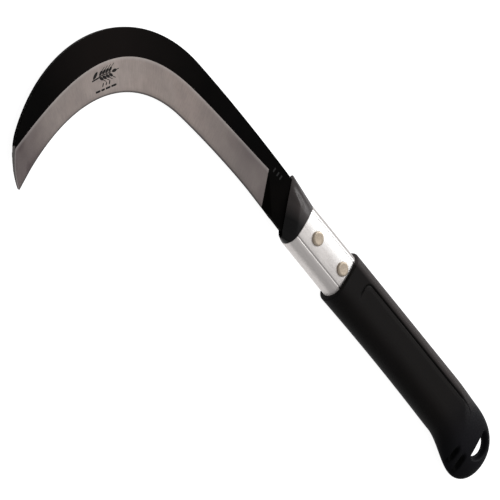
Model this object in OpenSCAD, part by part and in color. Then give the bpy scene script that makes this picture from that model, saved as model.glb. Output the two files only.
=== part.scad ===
// Hand sickle with a curved single-bevel blade, an aluminium tube handle and a moulded grip.
// The tool lies flat: handle along X with the butt at +X, hook opening towards -Y, Z up.
// All modules draw in the handle frame: X = 0 at the front of the grip, Y = 0 on the tube's
// axis, Z = 0 on the grip's flat underside. placed() moves that frame to the model's origin,
// which is below the middle of the whole tool.

/* [Blade] */
// Radius of the curved back
back_r = 98; // [92:1:104]
// Distance from the front of the grip to the centre of the bend
bend_x = 167; // [155:1:175]
// Height of the straight back above the handle's axis
back_y = 16.7; // [15:0.1:18]
// Drop of the tip below the handle's axis
tip_drop = 134.4; // [132:0.1:137]
// Thickness of the blade
blade_t = 2.4; // [1.8:0.1:3.2]
// Thickness left at the cutting edge
edge_t = 0.4; // [0.3:0.05:0.6]
// Width of the tang inside the tube
tang_w = 20; // [16:0.5:22]
// Length of the tang behind the front of the grip
tang_in = 8; // [6:0.5:10]

/* [Tube] */
// Width of the flat-oval tube
tube_w = 30.4; // [28:0.2:32]
// Thickness of the flat-oval tube
tube_t = 14; // [13:0.2:15]
// Wall of the tube
tube_wall = 1.5; // [1.2:0.1:2]
// Length of bare tube between collar and grip
tube_bare = 47; // [44:0.5:50]
// Length of tube inside the grip
tube_in = 118; // [90:1:120]
// Distance of the two shallow grooves from the tube's centre line
groove_y = 9.2; // [8.5:0.1:10]
// Depth of those grooves
groove_d = 0.5; // [0.3:0.1:0.8]

/* [Rivets] */
// Distance between the two rivets
rivet_pitch = 27.5; // [24:0.5:30]
// Distance from the rear rivet to the front of the grip
rivet_back = 6; // [6:0.5:8]
// Diameter of the rivet's shank
rivet_d = 5; // [4:0.5:6]
// Diameter of the rivet's head
rivet_head_d = 8.8; // [8:0.2:10]
// Height of the rivet's head
rivet_head_h = 1.2; // [0.8:0.1:1.5]

/* [Collar] */
// Height of the collar's front corner above the handle's axis
collar_y = 19.2; // [18.6:0.1:20]
// Length of the collar along its back
collar_len = 21; // [19:0.5:23]
// Length of the collar along its lower side
collar_short = 5.5; // [5:0.5:7]
// Height of the collar's front lip above and below the middle of the blade
collar_lip = 2.2; // [2:0.1:3.6]
// Length of the slope from that lip up to the full thickness
collar_slope = 7; // [5:0.5:8]

/* [Grip] */
// Length of the grip
grip_len = 165.5; // [163:0.5:168]
// Height of the grip's straight back above the axis
grip_top = 17.7; // [17.3:0.1:18.5]
// Distance of the grip's waist below the axis
grip_waist = 17.3; // [17:0.1:18]
// Drop of the pommel's lobe below the axis
pommel_drop = 27.7; // [26:0.1:29]
// Thickness of the grip between its two flat faces
grip_t = 18; // [17.5:0.5:20]
// Thickness taken off the pommel
pommel_thin = 12; // [6:0.5:13]
// Length of the straight side of the hanging hole
hole_len = 16; // [14:0.5:17]
// Width of the hanging hole
hole_w = 5.2; // [4.8:0.1:6]

/* [Hidden] */

$fn = 64;
mid_z = grip_t / 2;
slip = 0.05;                       // gap between a rivet's shank and its hole
small = 0.01;

// The middle of the whole tool's outline in the handle frame
origin_x = (grip_len - bend_x - back_r) / 2;
origin_y = (collar_y - tip_drop) / 2;

// Curves: a cubic through two end points and two handles, as a list of n points
function bezier(p, t) = pow(1 - t, 3) * p[0] + 3 * pow(1 - t, 2) * t * p[1]
    + 3 * (1 - t) * t * t * p[2] + pow(t, 3) * p[3];
function curve(p, n) = [for (i = [0:n - 1]) bezier(p, i / n)];
function arc(centre, r, from, to, n) =
    [for (i = [0:n - 1]) let (a = from + (to - from) * i / n) centre + r * [cos(a), sin(a)]];
function smooth(u) = let (c = min(1, max(0, u))) c * c * (3 - 2 * c);

// Blade: outline points. The angles are where the round back starts and ends.
back_centre = [-bend_x, back_y - back_r];
back_from = 93;
back_to = 197.5;
back_start = back_centre + back_r * [cos(back_from), sin(back_from)];
back_end = back_centre + back_r * [cos(back_to), sin(back_to)];
back_end_way = [sin(back_to - 180), -cos(back_to - 180)];
tip = [-237.6, -tip_drop];
tip_flat = [tip + [1.6, 0.5], tip + [1.4, 6.4]];
neck_top = [-66, 16.4];
neck_low = [-55, -12.3];
edge_tip = [-236.5, -120];
edge_bend = [-161.4, -15.5];
edge_heel = [-91.4, -11.2];

back_curve = [neck_top, [-101, 18], [-141, 18], back_start];
tip_curve = [back_end, back_end + 10 * back_end_way, tip + [-9.3, 3.6], tip];
edge_hook = [edge_tip, [-236.5, -64], [-211.7, -21.5], edge_bend];
edge_straight = [edge_bend, [-141.4, -13.1], [-113.4, -11.2], edge_heel];

// Bevel: the line where the ground face starts, and the end of the grind at the heel
bevel_tip = [-255.4, -118.5];
bevel_bend = [-166.4, 2.1];
bevel_heel = [-86.4, 8];
grind_end = [-75.4, -11.6];
ramp_end = [-65.5, -12];
// Where the bevel line and the edge go on to past the tip, so that the tip is ground too
bevel_past = bevel_tip + [-2.6, -20];
edge_past = edge_tip + [0.6, -20];
bevel_hook = [bevel_tip, [-247.7, -59.3], [-237.6, -6.4], bevel_bend];
bevel_straight = [bevel_bend, [-140, 5.2], [-110, 6.2], bevel_heel];

steps_hook = 28;
steps_straight = 10;

// The tang: its two shoulders lie inside the collar and its rear corners are cut off
shoulder_low = -52;
shoulder_high = -56;
tang_cut = 3;
function tang_outline() = let (h = tang_w / 2, c = tang_cut) [
    [shoulder_low, -h], [tang_in - c, -h], [tang_in, -h + c],
    [tang_in, h - c], [tang_in - c, h], [shoulder_high, h]];

function blade_outline() = concat(
    curve(back_curve, 10),
    arc(back_centre, back_r, back_from, back_to, 36),
    curve(tip_curve, 8),
    [tip], tip_flat,
    curve(edge_hook, steps_hook),
    curve(edge_straight, steps_straight),
    [edge_heel, neck_low],
    tang_outline());

module blade_plate() {
    translate([0, 0, mid_z - blade_t / 2])
        linear_extrude(blade_t) polygon(blade_outline());
}

// What the grinding wheel takes away: a wedge between the bevel line on the upper face and
// the cutting edge, carried on past the edge, with a flat ramp out of it at the heel.
module grind() {
    top_z = mid_z + blade_t / 2;
    edge_z = mid_z - blade_t / 2 + edge_t;
    past = 0.5;
    lift = 3;
    bevel = concat([bevel_past], curve(bevel_hook, steps_hook),
                   curve(bevel_straight, steps_straight), [bevel_heel]);
    edge = concat([edge_past], curve(edge_hook, steps_hook),
                  curve(edge_straight, steps_straight), [grind_end]);
    n = len(bevel);
    drop = top_z - edge_z;
    function out(i) = edge[i] + past * (edge[i] - bevel[i]);
    ring = [for (i = [0:n - 1]) each [
        [bevel[i][0], bevel[i][1], top_z],
        [bevel[i][0], bevel[i][1], top_z + lift],
        [out(i)[0], out(i)[1], top_z + lift],
        [out(i)[0], out(i)[1], edge_z - past * drop]]];
    ramp = ramp_end + past * (ramp_end - bevel_heel);
    points = concat(ring, [[ramp[0], ramp[1], top_z], [ramp[0], ramp[1], top_z + lift]]);
    last = 4 * (n - 1);
    low = 4 * n;
    high = low + 1;
    faces = concat(
        [[0, 1, 2, 3]],
        [for (i = [0:n - 2], k = [0:3]) let (a = 4 * i + k, b = 4 * i + (k + 1) % 4)
            each [[a, a + 4, b], [b, a + 4, b + 4]]],
        [[last, low, last + 1], [last + 1, low, high], [last + 1, high, last + 2],
         [last + 2, high, last + 3], [last + 3, high, low], [last + 3, low, last]]);
    polyhedron(points, faces, convexity = 4);
}

module rivet_holes(d) {
    for (x = [-rivet_back - rivet_pitch, -rivet_back])
        translate([x, 0, -1]) cylinder(d = d, h = grip_t + 2);
}

module blade() {
    color("dimgray")
        difference() {
            blade_plate();
            grind();
            rivet_holes(rivet_d + 2 * slip);
        }
}

collar_x = -tube_bare - collar_len;   // front of the collar

// Collar: the moulded throat between blade and tube, rounded all round but for its rear face
module collar() {
    round_r = tube_t / 2;
    side = tube_w / 2;
    reach = 40;
    outline = [[collar_x, collar_y], [collar_x, neck_top[1] - 0.2], neck_low,
               [-tube_bare - collar_short, -side], [0, -side], [0, side], [-tube_bare, side]];
    color("#26262a")
        difference() {
            intersection() {
                hull()
                    for (a = [0:15:90])
                        translate([0, 0, mid_z - round_r * sin(a) - small])
                            linear_extrude(2 * round_r * sin(a) + 2 * small)
                                offset(delta = -round_r * (1 - cos(a)))
                                    polygon(outline);
                translate([-tube_bare - reach, -reach, 0]) cube([reach, 2 * reach, grip_t]);
            }
            blade_plate();
            for (s = [-1, 1]) collar_ramp(s, round_r);
        }
}

// Space over the collar's sloping front on one face, behind a line from lip corner to corner
module collar_ramp(side, full) {
    way = [collar_x, neck_top[1]] - neck_low;
    rise = atan((full - collar_lip) / collar_slope);
    block = 60;
    translate([neck_low[0], neck_low[1], mid_z])
        rotate([0, 0, atan2(way[1], way[0])])
            mirror([0, 0, side < 0 ? 1 : 0])
                translate([-block / 2, 0, collar_lip])
                    rotate([-rise, 0, 0])
                        translate([0, -block / 2, 0]) cube([2 * block, block, block / 2]);
}

// Flat-oval section of the tube, along X from x0 to x1
module flat_oval(w, t, x0, x1) {
    translate([x0, 0, mid_z]) {
        translate([0, t / 2 - w / 2, -t / 2]) cube([x1 - x0, w - t, t]);
        for (s = [-1, 1])
            translate([0, s * (w - t) / 2, 0]) rotate([0, 90, 0]) cylinder(d = t, h = x1 - x0);
    }
}

bore_w = tube_w - 2 * tube_wall;
bore_t = tube_t - 2 * tube_wall;

module tube() {
    groove_r = 1;
    // Height of the round side above the middle at the groove
    side_z = sqrt(pow(tube_t / 2, 2) - pow(groove_y - (tube_w - tube_t) / 2, 2));
    color("#d6d7da")
        difference() {
            flat_oval(tube_w, tube_t, -tube_bare, tube_in);
            flat_oval(bore_w, bore_t, -tube_bare - 1, tube_in + 1);
            for (s = [-1, 1], f = [-1, 1])
                translate([-tube_bare - 1, s * groove_y, mid_z + f * (side_z + groove_r - groove_d)])
                    rotate([0, 90, 0]) cylinder(r = groove_r, h = tube_bare + tube_in + 2);
            rivet_holes(rivet_d + 2 * slip);
        }
}

// Liners: two halves that fill the tube around the tang, so the rivets can be pulled tight
module liner(side) {
    liner_end = tang_in + 4;
    color("#8c8a80")
        difference() {
            flat_oval(bore_w, bore_t, -tube_bare, liner_end);
            translate([-tube_bare - 1, -tube_w, side > 0 ? 0 : mid_z])
                cube([tube_bare + tube_in, 2 * tube_w, mid_z]);
            blade_plate();
            rivet_holes(rivet_d + 2 * slip);
        }
}

// Rivet: a shank with a low chamfered head on each face of the tube
module rivet(x) {
    chamfer = 0.4;
    color("#c9b49a")
        translate([x, 0, mid_z])
            for (f = [0, 180])
                rotate([f, 0, 0]) {
                    cylinder(d = rivet_d, h = tube_t / 2 + rivet_head_h / 2);
                    translate([0, 0, tube_t / 2]) {
                        cylinder(d = rivet_head_d, h = rivet_head_h - chamfer);
                        translate([0, 0, rivet_head_h - chamfer])
                            cylinder(d1 = rivet_head_d, d2 = rivet_head_d - 2 * chamfer, h = chamfer);
                    }
                }
}

// Grip: sections across the handle, given by its back, its lower side and its half thickness
butt_y = -4.2;                     // height of the rearmost point of the butt
butt_start = 138;                  // where the back starts to round into the butt
lobe_x = 147;                      // lowest point of the pommel's lobe
lobe_start = 119;                  // where the lower side starts to drop into the lobe
waist_x = 60;                      // narrowest place of the grip
waist_spread = 60;                 // distance over which the waist widens by one millimetre
butt_power = 2.4;                  // squareness of the butt
thin_start = 112;                  // where the grip starts to thin towards the butt
thin_over = 40;                    // length over which it thins
crown = 2;                         // what the flat faces cut off the sections' height
hole_x = 153.4;                    // straight side of the hanging hole
hole_y = -1;                       // middle of the hanging hole

function superellipse(u, p) = pow(max(0, 1 - pow(min(1, max(0, u)), p)), 1 / p);
function grip_high(x) = let (u = (x - butt_start) / (grip_len - butt_start))
    butt_y + (grip_top - butt_y) * superellipse(u, butt_power);
function waist(x) = grip_waist + pow((min(x, lobe_start) - waist_x) / waist_spread, 2);
function grip_low(x) = x < lobe_x
    ? -waist(x) - (pommel_drop - waist(x)) * smooth((x - lobe_start) / (lobe_x - lobe_start))
    : butt_y - (pommel_drop + butt_y) * superellipse((x - lobe_x) / (grip_len - lobe_x), 2);
// The sections are ellipses thicker than the grip; the flat faces are cut through them
function grip_half_t(x) = (mid_z + crown - pommel_thin / 2 * smooth((x - thin_start) / thin_over))
    * superellipse((x - butt_start) / (grip_len - butt_start), butt_power);
function section_point(x, a) = let (
        yc = (grip_high(x) + grip_low(x)) / 2, yr = (grip_high(x) - grip_low(x)) / 2)
    [x, yc + yr * cos(a), mid_z + grip_half_t(x) * sin(a)];

module grip_body() {
    around = 40;
    rounded = 14;
    round_start = 143;
    stations = concat(
        [0, 20, 40, 60, 80, 100, thin_start],
        [for (i = [0:5]) lobe_start + 4 * i],
        [for (i = [0:rounded - 1]) round_start + (grip_len - round_start) * sin(90 * i / rounded)]);
    n = len(stations);
    ring = [for (x = stations, k = [0:around - 1]) section_point(x, 360 * k / around)];
    nose = [grip_len, butt_y, mid_z];
    points = concat(ring, [nose]);
    faces = concat(
        [[for (k = [0:around - 1]) k]],
        [for (i = [0:n - 2], k = [0:around - 1])
            let (a = i * around + k, b = i * around + (k + 1) % around)
            each [[a, a + around, b], [b, a + around, b + around]]],
        [for (k = [0:around - 1])
            [(n - 1) * around + k, n * around, (n - 1) * around + (k + 1) % around]]);
    deep = 2 * pommel_drop;
    intersection() {
        polyhedron(points, faces, convexity = 4);
        translate([-1, -deep, 0]) cube([grip_len + 2, 2 * deep, grip_t]);
    }
}

// Half-moon hanging hole: the part of a cylinder behind a straight side
module hanging_hole() {
    r = (pow(hole_len / 2, 2) + pow(hole_w, 2)) / (2 * hole_w);
    difference() {
        translate([hole_x + hole_w - r, hole_y, -1]) cylinder(r = r, h = grip_t + 2);
        translate([hole_x - 2 * r, hole_y - r - 1, -2]) cube([2 * r, 2 * r + 2, grip_t + 4]);
    }
}

module grip() {
    color("#29292b")
        difference() {
            grip_body();
            flat_oval(tube_w, tube_t, -1, tube_in);
            hanging_hole();
        }
}

module placed() {
    translate([-origin_x, -origin_y, 0]) children();
}

placed() blade();
placed() collar();
placed() liner(1);  // liner_upper
placed() liner(-1);  // liner_lower
placed() tube();
placed() rivet(-rivet_back - rivet_pitch);  // rivet_front
placed() rivet(-rivet_back);  // rivet_rear
placed() grip();
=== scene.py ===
from contextlib import contextmanager
from math import asin, copysign, cos, hypot, pi, radians, sin, sqrt, tau

import bmesh
import bpy
from mathutils import Matrix, Vector


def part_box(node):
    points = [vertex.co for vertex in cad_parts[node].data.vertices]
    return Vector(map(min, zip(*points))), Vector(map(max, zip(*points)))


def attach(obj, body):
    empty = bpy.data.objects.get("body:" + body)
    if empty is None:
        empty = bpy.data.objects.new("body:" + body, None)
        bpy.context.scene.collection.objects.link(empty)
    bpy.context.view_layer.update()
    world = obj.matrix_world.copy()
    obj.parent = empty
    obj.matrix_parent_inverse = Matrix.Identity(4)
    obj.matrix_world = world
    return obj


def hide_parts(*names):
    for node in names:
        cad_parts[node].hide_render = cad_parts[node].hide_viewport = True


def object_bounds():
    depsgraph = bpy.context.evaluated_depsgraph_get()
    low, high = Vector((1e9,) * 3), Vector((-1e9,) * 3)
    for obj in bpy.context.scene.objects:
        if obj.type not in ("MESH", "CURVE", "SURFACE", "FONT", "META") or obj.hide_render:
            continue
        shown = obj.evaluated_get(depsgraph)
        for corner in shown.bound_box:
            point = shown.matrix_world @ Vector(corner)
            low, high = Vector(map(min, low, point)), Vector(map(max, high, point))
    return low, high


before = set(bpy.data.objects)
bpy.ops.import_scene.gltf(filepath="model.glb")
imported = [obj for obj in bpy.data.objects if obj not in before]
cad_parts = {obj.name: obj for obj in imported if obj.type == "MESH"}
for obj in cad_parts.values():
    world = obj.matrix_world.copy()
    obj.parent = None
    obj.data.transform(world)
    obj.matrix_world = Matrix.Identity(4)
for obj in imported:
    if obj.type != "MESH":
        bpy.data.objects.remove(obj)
cad_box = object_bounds()

# The look of a hand sickle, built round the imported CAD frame. Every piece is drawn in
# millimetres in the handle frame: X = 0 at the front of the grip, Y = 0 on the tube's axis,
# Z = 0 on the grip's flat underside. at() turns such a point into metres in the row frame.

MM = 0.001
GRIP_LOW, GRIP_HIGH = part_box("grip")
TUBE_LOW, TUBE_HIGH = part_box("tube")
BLADE_LOW, BLADE_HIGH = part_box("blade")
COLLAR_LOW, COLLAR_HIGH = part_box("collar")
ORIGIN = Vector((GRIP_LOW.x, (TUBE_LOW.y + TUBE_HIGH.y) / 2, GRIP_LOW.z))


def at(x, y, z):
    """A point in handle millimetres as metres in the row frame."""
    return ORIGIN + MM * Vector((x, y, z))


def handle_mm(value, axis):
    """The way back for one coordinate; axis 0 is X."""
    return (value - ORIGIN[axis]) / MM


# Sizes that the frame gives
GRIP_LEN = handle_mm(GRIP_HIGH.x, 0)
GRIP_T = handle_mm(GRIP_HIGH.z, 2)
MID_Z = GRIP_T / 2
TUBE_W = (TUBE_HIGH.y - TUBE_LOW.y) / MM
TUBE_T = (TUBE_HIGH.z - TUBE_LOW.z) / MM
TUBE_FRONT = handle_mm(TUBE_LOW.x, 0)
TUBE_END = handle_mm(TUBE_HIGH.x, 0)
COLLAR_FRONT = handle_mm(COLLAR_LOW.x, 0)
COLLAR_Y = handle_mm(COLLAR_HIGH.y, 1)
TANG_END = handle_mm(BLADE_HIGH.x, 0)
BLADE_T = (BLADE_HIGH.z - BLADE_LOW.z) / MM
BLADE_TOP = MID_Z + BLADE_T / 2
BLADE_UNDER = MID_Z - BLADE_T / 2
TUBE_WALL = 1.5  # as in the CAD part


# -------- small maths

def mix(a, b, t):
    return a + (b - a) * t


def smooth(u):
    """Rises softly from 0 at u = 0 to 1 at u = 1."""
    u = min(1.0, max(0.0, u))
    return u * u * (3 - 2 * u)


def bump(u):
    """1 in the middle and 0 from |u| = 1 on, with soft ends."""
    return smooth(1 - abs(u))


def superellipse(u, power):
    """Falls from 1 at u = 0 to 0 at u = 1 along a rounded quarter."""
    u = min(1.0, max(0.0, u))
    return (1 - u ** power) ** (1 / power)


def plan(x, y):
    return Vector((x, y))


def bezier(p, t):
    s = 1 - t
    return s ** 3 * p[0] + 3 * s * s * t * p[1] + 3 * s * t * t * p[2] + t ** 3 * p[3]


def bezier_line(p, n):
    return [bezier(p, i / n) for i in range(n)]


def ray_hit(start, way, outline):
    """Where the ray from start along way first meets the open outline."""
    best = None
    for a, b in zip(outline, outline[1:]):
        side = b - a
        cross = way.x * side.y - way.y * side.x
        if abs(cross) < 1e-9:
            continue
        gap = a - start
        t = (gap.x * side.y - gap.y * side.x) / cross
        u = (gap.x * way.y - gap.y * way.x) / cross
        if t > 0 and -1e-6 <= u <= 1 + 1e-6 and (best is None or t < best):
            best = t
    return start + best * way


# -------- mesh helpers

WELD = 0.002 * MM    # points closer than this become one
SLIVER = 0.001 * MM  # edges shorter than this are taken out


def new_mesh(name, points, faces):
    """A mesh from points in handle millimetres."""
    mesh = bpy.data.meshes.new(name)
    mesh.from_pydata([at(*p) for p in points], [], faces)
    return mesh


def add_object(name, data):
    thing = bpy.data.objects.new(name, data)
    bpy.context.scene.collection.objects.link(thing)
    return thing


def make_piece(name, points, faces, nodes=()):
    """A mesh piece from points in handle millimetres that rides on the one body."""
    mesh = new_mesh(name, points, faces)
    mesh.validate()
    piece = add_object(name, mesh)
    mend(piece)
    settle(piece, nodes)
    return piece


def settle(piece, nodes):
    """Puts a piece on the one body and in the place of CAD nodes."""
    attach(piece, "root")
    if nodes:
        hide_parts(*nodes)


def fill_layer(mesh, name, values):
    """A UV layer that holds a pair of values for each of the mesh's points."""
    layer = mesh.uv_layers.new(name=name)
    for loop in mesh.loops:
        layer.data[loop.index].uv = values[loop.vertex_index]


@contextmanager
def editing(piece):
    """Opens a piece's mesh as a bmesh and writes it back."""
    cage = bmesh.new()
    cage.from_mesh(piece.data)
    yield cage
    cage.to_mesh(piece.data)
    cage.free()


def mend(piece):
    """Welds points that fall together and turns all faces outwards."""
    with editing(piece) as cage:
        bmesh.ops.remove_doubles(cage, verts=cage.verts, dist=WELD)
        bmesh.ops.recalc_face_normals(cage, faces=cage.faces)


def shade(piece, angle):
    """Smooth shading with creases only where faces meet at more than angle degrees."""
    for face in piece.data.polygons:
        face.use_smooth = True
    piece.data.set_sharp_from_angle(angle=radians(angle))


def drop_slivers(piece):
    """Splits faces of many sides into triangles and takes out those without any area."""
    with editing(piece) as cage:
        bmesh.ops.triangulate(cage, faces=[face for face in cage.faces if len(face.verts) > 4])
        bmesh.ops.dissolve_degenerate(cage, edges=cage.edges, dist=SLIVER)


def soften(piece, width, segments=2):
    """Rounds the edges that carry a bevel weight and keeps the flats flat."""
    rounding = piece.modifiers.new("rounding", "BEVEL")
    rounding.limit_method = "WEIGHT"
    rounding.width = width * MM
    rounding.segments = segments
    rounding.use_clamp_overlap = False
    finish_mesh(piece)
    drop_slivers(piece)
    normals = piece.modifiers.new("normals", "WEIGHTED_NORMAL")
    normals.keep_sharp = True


def loop_faces(first, second, count):
    """Quads between two closed loops of count points that start at those indices."""
    return [(first + k, first + (k + 1) % count, second + (k + 1) % count, second + k)
            for k in range(count)]


def lofted(loops, closed=False):
    """Points and faces of a skin through loops of equal length; closed joins last to first."""
    count = len(loops[0])
    points = [p for loop in loops for p in loop]
    faces = []
    for i in range(len(loops) - 1):
        faces += loop_faces(i * count, (i + 1) * count, count)
    if closed:
        faces += loop_faces((len(loops) - 1) * count, 0, count)
    return points, faces


def finish_mesh(piece):
    """Applies the piece's modifiers, so that its mesh is the shape that shows."""
    graph = bpy.context.evaluated_depsgraph_get()
    mesh = bpy.data.meshes.new_from_object(piece.evaluated_get(graph))
    old = piece.data
    piece.modifiers.clear()
    piece.data = mesh
    bpy.data.meshes.remove(old)


# -------- material helpers

class Nodes:
    """Short names for the shader nodes that the materials share."""

    def __init__(self, name):
        self.material = bpy.data.materials.new(name)
        self.material.use_nodes = True
        self.tree = self.material.node_tree
        self.shader = self.tree.nodes["Principled BSDF"]

    def add(self, kind, **values):
        node = self.tree.nodes.new(kind)
        for key, value in values.items():
            setattr(node, key, value)
        return node

    def link(self, source, target):
        self.tree.links.new(source, target)

    def put(self, socket, value):
        if isinstance(value, bpy.types.NodeSocket):
            self.link(value, socket)
        else:
            socket.default_value = value

    def place(self, scale=(1, 1, 1)):
        """Object coordinates in millimetres times scale."""
        coords = self.add("ShaderNodeTexCoord")
        return self.scaled(coords.outputs["Object"], [s / MM for s in scale])

    def layer(self, name, scale=(1, 1, 1)):
        """A layer filled by fill_layer, times scale."""
        coords = self.add("ShaderNodeUVMap", uv_map=name)
        return self.scaled(coords.outputs["UV"], scale)

    def height(self):
        """Distance above the handle's axis in the plan, in millimetres."""
        return self.maths("SUBTRACT", self.part(self.place(), "Y"), ORIGIN.y / MM)

    def scaled(self, vector, scale):
        mapping = self.add("ShaderNodeMapping")
        mapping.inputs["Scale"].default_value = scale
        self.link(vector, mapping.inputs["Vector"])
        return mapping.outputs["Vector"]

    def noise(self, vector, scale, detail, roughness):
        node = self.add("ShaderNodeTexNoise")
        node.inputs["Scale"].default_value = scale
        node.inputs["Detail"].default_value = detail
        node.inputs["Roughness"].default_value = roughness
        self.link(vector, node.inputs["Vector"])
        return node.outputs["Fac"]

    def spread(self, value, low, high, to_low=0.0, to_high=1.0):
        node = self.add("ShaderNodeMapRange")
        set_range(node, low, high, to_low, to_high)
        self.link(value, node.inputs["Value"])
        return node.outputs["Result"]

    def vary(self, noise, low, high):
        """Turns the common range of a noise into one from low to high."""
        return self.spread(noise, 0.3, 0.7, low, high)

    def maths(self, kind, first, second=0.0):
        """Sockets or numbers joined by one operation."""
        node = self.add("ShaderNodeMath", operation=kind)
        self.put(node.inputs[0], first)
        self.put(node.inputs[1], second)
        return node.outputs[0]

    def times(self, first, second):
        return self.maths("MULTIPLY", first, second)

    def plus(self, first, second):
        return self.maths("ADD", first, second)

    def blend(self, factor, first, second):
        """Mixes two colours, each a tuple or a socket."""
        node = self.add("ShaderNodeMix", data_type="RGBA")
        self.put(node.inputs["Factor"], factor)
        self.put(node.inputs["A"], colour(first))
        self.put(node.inputs["B"], colour(second))
        return node.outputs["Result"]

    def over(self, tint, value, low, high, share, top):
        """Lays up to a share of a top colour over a tint, where a value goes from low to high."""
        return self.blend(self.spread(value, low, high, 0.0, share), tint, top)

    def part(self, vector, axis):
        node = self.add("ShaderNodeSeparateXYZ")
        self.link(vector, node.inputs[0])
        return node.outputs[axis]

    def raised(self, height, distance, strength):
        """A bump of distance millimetres from a height of 0 to 1."""
        node = self.add("ShaderNodeBump")
        node.inputs["Strength"].default_value = strength
        node.inputs["Distance"].default_value = distance * MM
        self.link(height, node.inputs["Height"])
        return node.outputs["Normal"]

    def use(self, **values):
        """Sets or links the shader's sockets; underscores in the names stand for spaces."""
        for key, value in values.items():
            self.put(self.shader.inputs[key.replace("_", " ")], value)
        return self.material


def set_range(node, *limits):
    """Sets what a map range node maps from and to."""
    for name, limit in zip(("From Min", "From Max", "To Min", "To Max"), limits):
        node.inputs[name].default_value = limit


def colour(value):
    """A socket as it is, or a tuple with its alpha."""
    if isinstance(value, bpy.types.NodeSocket):
        return value
    return (*value, 1.0)


# -------- materials

def ground_steel():
    """Bare steel of the bevel: fine marks of the wheel across the edge, warm patches."""
    n = Nodes("ground_steel")
    along = n.layer("grain")
    marks = n.noise(n.layer("grain", (3.2, 0.1, 1)), 1, 4, 0.65)
    fine = n.noise(n.layer("grain", (11, 0.3, 1)), 1, 2, 0.6)
    patches = n.noise(n.layer("grain", (0.03, 0.05, 1)), 1, 2, 0.5)
    cloud = n.noise(n.layer("grain", (0.12, 0.1, 1)), 1, 3, 0.6)
    # Distance along the edge: dark at the tip, light and warm round the bend, dark at the heel
    travel = n.part(along, "X")
    tint = n.blend(n.spread(travel, 17, 50), (0.06, 0.041, 0.045), (0.285, 0.242, 0.223))
    tint = n.over(tint, travel, 65, 95, 1, (0.395, 0.336, 0.308))
    tint = n.over(tint, travel, 100, 130, 0.5, (0.24, 0.196, 0.178))
    tint = n.over(tint, travel, 160, 215, 0.85, (0.125, 0.106, 0.105))
    tint = n.over(tint, patches, 0.42, 0.58, 0.22, (0.33, 0.295, 0.27))
    tint = n.over(tint, cloud, 0.4, 0.65, 0.25, (0.15, 0.125, 0.128))
    tint = n.over(tint, marks, 0.35, 0.65, 0.25, (0.14, 0.124, 0.118))
    # Lighter towards the bevel line, a painted highlight along it; dark on the honed strip and on the
    # tip's outer wall
    tint = n.over(tint, n.part(along, "Y"), -2.2, -0.2, 0.35, (0.46, 0.435, 0.42))
    rim = n.layer("rim")
    tint = n.blend(n.spread(n.part(rim, "X"), 0.5, 1.3, 0.8, 0), tint, (0.07, 0.065, 0.063))
    tint = n.blend(n.spread(n.part(rim, "Y"), 0.1, 0.5, 0.85, 0), tint, (0.045, 0.042, 0.04))
    rough = n.plus(n.vary(marks, 0.36, 0.5), n.vary(fine, 0, 0.08))
    relief = n.plus(n.times(marks, 0.7), n.times(fine, 0.3))
    return n.use(Base_Color=tint, Metallic=0.92, Roughness=rough,
                 Normal=n.raised(relief, 0.02, 0.5))


def black_coat():
    """Baked black coat of the blade: faint rolling marks, small scuffs, worn to steel at rims."""
    n = Nodes("black_coat")
    where = n.place()
    cloud = n.noise(where, 0.045, 3, 0.6)
    grain = n.noise(n.place((0.5, 1.6, 1)), 1.6, 3, 0.6)
    speck = n.noise(where, 2.6, 2, 0.6)
    rim = n.part(n.layer("rim"), "Y")
    ragged = n.plus(rim, n.times(n.noise(where, 0.9, 4, 0.7), -0.9))
    worn = n.spread(ragged, -0.6, -0.52, 0.3, 0)
    # Warmer and a little paler round the bend
    travel = n.part(n.layer("grain"), "X")
    glow = n.times(n.spread(travel, 45, 85), n.spread(travel, 165, 110))
    tint = n.blend(n.spread(cloud, 0.35, 0.7), (0.0005, 0.0005, 0.0005), (0.0015, 0.0011, 0.0009))
    tint = n.blend(glow, tint, (0.0068, 0.0051, 0.0046))
    tint = n.over(tint, speck, 0.62, 0.72, 0.12, (0.014, 0.012, 0.011))
    tint = n.blend(worn, tint, (0.16, 0.15, 0.145))
    rough = n.plus(n.vary(cloud, 0.27, 0.35), n.vary(grain, 0, 0.06))
    relief = n.plus(n.times(grain, 0.5), n.times(speck, 0.5))
    return n.use(Base_Color=tint, Metallic=n.times(worn, 0.9), Roughness=rough,
                 Specular_IOR_Level=0.01, Normal=n.raised(relief, 0.02, 0.3))


def collar_plastic():
    """Moulded black plastic, paler on its upper part by a painted sheen, with a flow pattern and fine
    scuffs.
    """
    n = Nodes("collar_plastic")
    flow = n.noise(n.place((0.6, 1.8, 1)), 0.22, 3, 0.5)
    skin = n.noise(n.place(), 3.4, 2, 0.5)
    scuff = n.noise(n.place((2.5, 0.4, 1)), 0.9, 4, 0.7)
    tint = n.blend(n.spread(flow, 0.35, 0.65), (0.0014, 0.0013, 0.0014), (0.003, 0.0027, 0.0028))
    # Painted sheen: paler upward from the axis, as if lit from above
    tint = n.over(tint, n.height(), -4, 4, 1, (0.048, 0.0405, 0.0395))
    tint = n.over(tint, scuff, 0.6, 0.75, 0.2, (0.018, 0.017, 0.017))
    rough = n.plus(n.vary(flow, 0.27, 0.34), n.spread(scuff, 0.5, 0.75, 0, 0.16))
    return n.use(Base_Color=tint, Roughness=rough, Specular_IOR_Level=0.15,
                 Normal=n.raised(skin, 0.03, 0.3))


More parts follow.
